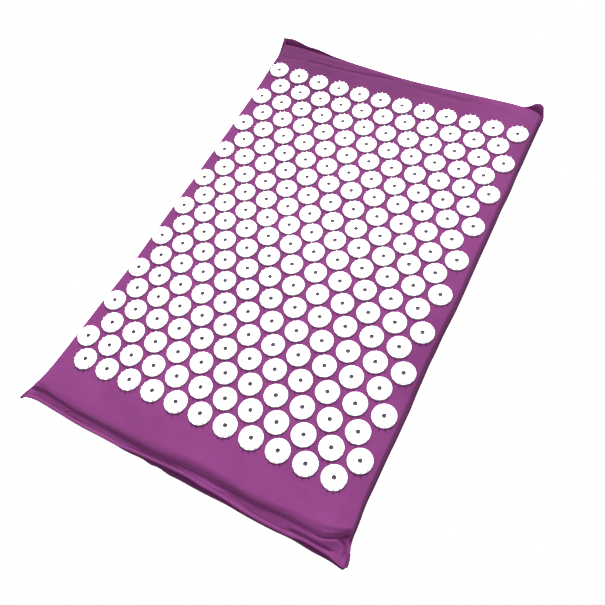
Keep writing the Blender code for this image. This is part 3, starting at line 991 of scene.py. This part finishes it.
# The two tapes that close the mouth
tape = dict(
    base=0.6 * mm, edge=0.15 * mm, toEdge=2.2 * mm, width=11.5 * mm,
    columns=90, rows=6,
    hookPitch=1.9 * mm, hookHeight=0.6 * mm, hookRadius=0.14 * mm, hookTip=0.5,
    hookBend=((0, 0.3 * mm, 0.02 * mm), (0, 0.12 * mm, 0.22 * mm)),
    loopPitch=1.7 * mm, loopRadius=0.5 * mm, loopThread=0.1 * mm,
    sideMargin=2 * mm, endMargin=1.5 * mm,
    scatter=0.5 * mm, hookTurn=0.5, loopTurn=3.0,    # how unevenly the pile stands
)


def makeHook():
    deselect()
    bpy.ops.mesh.primitive_cylinder_add(vertices=5, radius=tape["hookRadius"], depth=tape["hookHeight"],
                                        location=(0, 0, -tape["hookHeight"] / 2))
    hook = started("hook")
    edit(hook, "FACE", lambda face: face.normal.z < -0.9)
    for move in tape["hookBend"]:
        bpy.ops.mesh.extrude_region_move(TRANSFORM_OT_translate={"value": move})
    bpy.ops.transform.resize(value=(tape["hookTip"],) * 3)
    editDone()
    return hook


def makeLoop():
    deselect()
    bpy.ops.mesh.primitive_torus_add(major_segments=8, minor_segments=4, major_radius=tape["loopRadius"],
                                     minor_radius=tape["loopThread"], rotation=(math.pi / 2, 0, 0),
                                     location=(0, 0, 0))
    return started("loop")


# A strip of tape under the upper lip or on the lower one, with a pile of copies of the given piece
def makeTape(name, low, high, top, material, piece, pitch):
    level = high.z if top > 0 else low.z
    follow = 1 if top > 0 else cover["follow"]
    mostTurn = tape["hookTurn"] if top > 0 else tape["loopTurn"]

    def onTape(shareX, shareY):
        x = mix(low.x, high.x, shareX)
        y = max(at(upperEdge, x) + tape["toEdge"], low.y) + tape["width"] * shareY
        return Vector((x, y, level + follow * (lipDrop(x, y) + foldHeight(x, y))))

    deselect()
    bpy.ops.mesh.primitive_grid_add(x_subdivisions=tape["columns"], y_subdivisions=tape["rows"], size=1)
    strip = started(name)
    for vertex in strip.data.vertices:
        vertex.co = onTape(vertex.co.x + 0.5, vertex.co.y + 0.5)
    strip.data.materials.append(material)
    addModifier(strip, "SOLIDIFY", thickness=tape["base"], offset=-1 if top > 0 else 1)
    addModifier(strip, "BEVEL", width=tape["edge"], segments=2, angle_limit=math.radians(60))
    smoothShade(strip)
    piece.data.materials.append(material)
    copies = []
    across = int((high.x - low.x - tape["sideMargin"]) / pitch)
    along = int((tape["width"] - tape["endMargin"]) / pitch)
    for i in range(across):
        for j in range(along):
            jitter = noise.cell_vector(Vector((i * 1.3, j * 2.1, 4.5 + top)))
            place = onTape((i + 0.9 + 0.5 * (j % 2)) / (across + 1), (j + 1) / (along + 1))
            place += Vector((jitter.x - 0.5, jitter.y - 0.5, 0)) * tape["scatter"]
            place.z -= top * tape["base"]
            turn = Matrix.Rotation((jitter.z - 0.5) * mostTurn, 4, "Z")
            copies.append(copyOf(piece, "pileCopy", Matrix.Translation(place) @ turn))
    bpy.data.objects.remove(piece)
    return join([strip] + copies, name)


hookTape = makeTape("hookTape", hookLow, hookHigh, 1, hookPlum, makeHook(), tape["hookPitch"])
loopTape = makeTape("loopTape", loopLow, loopHigh, -1, loopPlum, makeLoop(), tape["loopPitch"])
print("tapes made:", len(hookTape.data.polygons), "and", len(loopTape.data.polygons), "faces")


# Stitches: short capsules of thread, half sunk in the cloth
stitching = dict(
    length=2.5 * mm, gap=1.1 * mm, radius=0.24 * mm, flat=0.9,
    lip=0.80,                # how far out over the lip the line runs
    reach=186 * mm,          # how far it goes to either side
    fieldWidth=188 * mm,
)


def makeStitch():
    deselect()
    bpy.ops.mesh.primitive_uv_sphere_add(
        segments=8, ring_count=6, radius=stitching["radius"],
        scale=(stitching["length"] / (2 * stitching["radius"]), 1, stitching["flat"]))
    stitch = started("stitch")
    stitch.data.materials.append(threadPlum)
    smoothShade(stitch, 80)
    return stitch


# A stitch from one point to another, on the cloth's surface
def between(start, end):
    along = (end - start).normalized()
    sideways = Vector((0, 0, 1)).cross(along).normalized()
    upwards = along.cross(sideways)
    turn = Matrix((along, sideways, upwards)).transposed().to_4x4()
    return Matrix.Translation((start + end) / 2) @ turn


# A line of stitches along a lip's hem, on the top panel or the bottom one
def sewHem(stitch, name, top):
    step = stitching["length"] + stitching["gap"]
    copies = []
    for k in range(int(2 * stitching["reach"] / step)):
        x = k * step - stitching["reach"]
        start, end = [coverPoint(place / stitching["fieldWidth"], -2 - stitching["lip"], top)
                      for place in (x, x + stitching["length"])]
        copies.append(copyOf(stitch, "stitchCopy", between(start, end)))
    return join(copies, name)


oneStitch = makeStitch()
upperStitches = sewHem(oneStitch, "upperHemStitches", 1)
lowerStitches = sewHem(oneStitch, "lowerHemStitches", -1)
bpy.data.objects.remove(oneStitch)
print("stitching made")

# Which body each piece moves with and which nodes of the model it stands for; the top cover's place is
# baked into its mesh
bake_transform(topCover)
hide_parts("top_panel", "upper_lip")
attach(bottomCover, "mat")
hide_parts("bottom_panel", "lower_lip")
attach(foamCore, "mat")
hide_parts("foam_core")
for piece in discRows:
    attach(piece, "mat")
for piece, body, node in ((hookTape, "mouth_flap", "hook_tape"), (loopTape, "mat", "loop_tape")):
    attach(piece, body)
    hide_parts(node)
for piece, body in ((upperStitches, "mouth_flap"), (lowerStitches, "mat")):
    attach(piece, body)

# A white floor, soft light from above, and the camera
studio = dict(
    floorSize=30.0, floorDrop=0.3 * mm, floorWhite=0.95,
    floorBounce=0.42,    # what its light gives to the mat, kept lower than what is seen
    floorGlow=0.42,      # the floor is as overexposed as the photograph's
    worldLight=0.70,
    keyLevel=0.93, keySize=3.6, keyPlace=(-2.8, 7.7, 8.0),
    tone=((0.36, 0.37), (0.53, 0.68), (0.66, 1.0)),
)


def makeFloor():
    deselect()
    bpy.ops.mesh.primitive_plane_add(size=studio["floorSize"], location=(0, 0, -studio["floorDrop"]))
    floor = started("floor")
    material = newMaterial("whiteFloor", (0.9, 0.9, 0.9), 0.9, **{"Emission Strength": 1.0})
    tree = material.node_tree
    seen = addNode(tree, "ShaderNodeLightPath").outputs["Is Camera Ray"]
    for target, hidden, shown in (("Base Color", studio["floorBounce"], studio["floorWhite"]),
                                  ("Emission Color", 0.0, studio["floorGlow"])):
        feedShader(tree, {target: blendColours(tree, "MIX", seen, (hidden,) * 3, (shown,) * 3)})
    floor.data.materials.append(material)


def makeWorld():
    world = bpy.data.worlds.new("studio")
    bpy.context.scene.world = world
    world.use_nodes = True
    tree = world.node_tree
    seen = addNode(tree, "ShaderNodeLightPath").outputs["Is Camera Ray"]
    strength = rampBetween(tree, seen, 0, 1, studio["worldLight"], 1.0)
    feed(tree, tree.nodes["Background"], {"Color": (1, 1, 1, 1), "Strength": strength})


def makeKey():
    place = Vector(studio["keyPlace"])
    data = bpy.data.lights.new("key", "AREA")
    data.shape = "DISK"
    data.size = studio["keySize"]
    # the power that lights a level white surface in the middle to keyLevel
    data.energy = studio["keyLevel"] * math.pi**2 * place.length**3 / place.z
    key = bpy.data.objects.new("key", data)
    bpy.context.collection.objects.link(key)
    key.location = place
    key.rotation_euler = (-place).to_track_quat("-Z", "Y").to_euler()


# The camera was worked out from the discs' places in the photograph
view = dict(
    place=(0.30279, -0.40273, 0.66781),
    right=(0.87542, 0.46398, -0.13550),
    up=(-0.33530, 0.78483, 0.52117),
    back=(0.34815, -0.41082, 0.84263),
    lens=39.616, sensor=36.0, nearest=0.01,
)


def makeCamera():
    data = bpy.data.cameras.new("camera")
    data.lens = view["lens"]
    data.sensor_width = view["sensor"]
    data.clip_start = view["nearest"]
    camera = bpy.data.objects.new("camera", data)
    bpy.context.collection.objects.link(camera)
    axes = Matrix((view["right"], view["up"], view["back"])).transposed()
    camera.matrix_world = Matrix.Translation(view["place"]) @ axes.to_4x4()
    bpy.context.scene.camera = camera


# The photograph's highlights run out early: from a little above the cloth's level, all is white
def setTone():
    settings = bpy.context.scene.view_settings
    settings.view_transform = "Standard"
    settings.use_curve_mapping = True
    mapping = settings.curve_mapping
    curve = mapping.curves[3]    # the curve for all three colours
    for place, level in studio["tone"]:
        curve.points.new(place, level)
    for point in curve.points:
        point.handle_type = "VECTOR"
    mapping.extend = "HORIZONTAL"
    mapping.update()


makeFloor()
makeWorld()
makeKey()
makeCamera()
setTone()
print("studio made")
